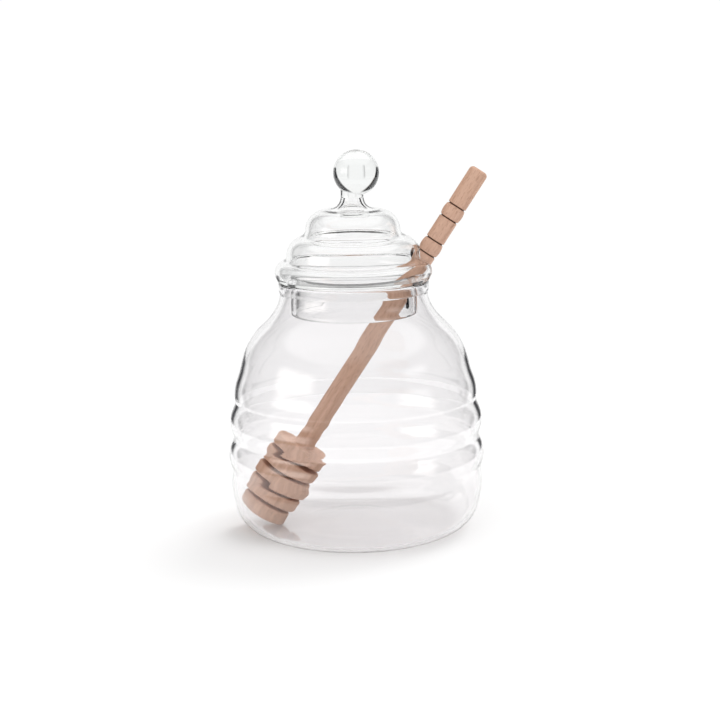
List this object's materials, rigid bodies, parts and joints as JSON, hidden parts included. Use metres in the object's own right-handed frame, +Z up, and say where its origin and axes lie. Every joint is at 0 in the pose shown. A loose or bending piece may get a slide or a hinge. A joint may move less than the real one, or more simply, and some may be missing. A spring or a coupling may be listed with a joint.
{
  "type": "glass honey jar with wooden dipper",
  "caption": "Clear ribbed beehive jar with a tiered glass lid and ball knob; a turned wooden dipper leans inside and comes out through a notch in the lid.",
  "frame": {"origin": "centre of the jar's foot, on the surface it stands on", "axes": "+Z up along the jar's axis; the dipper leans towards +X; -Y faces the front"},
  "size_m": [0.1017, 0.1, 0.1478],
  "materials": {
    "jar_glass": "clear blown glass, smooth",
    "lid_glass": "clear blown glass, smooth, fire-polished edges",
    "beech": "bare turned beech, fine sanded"
  },
  "bodies": {
    "root": {"jar": "jar_glass", "lid": "lid_glass", "dipper": "beech"}
  },
  "joints": []
}
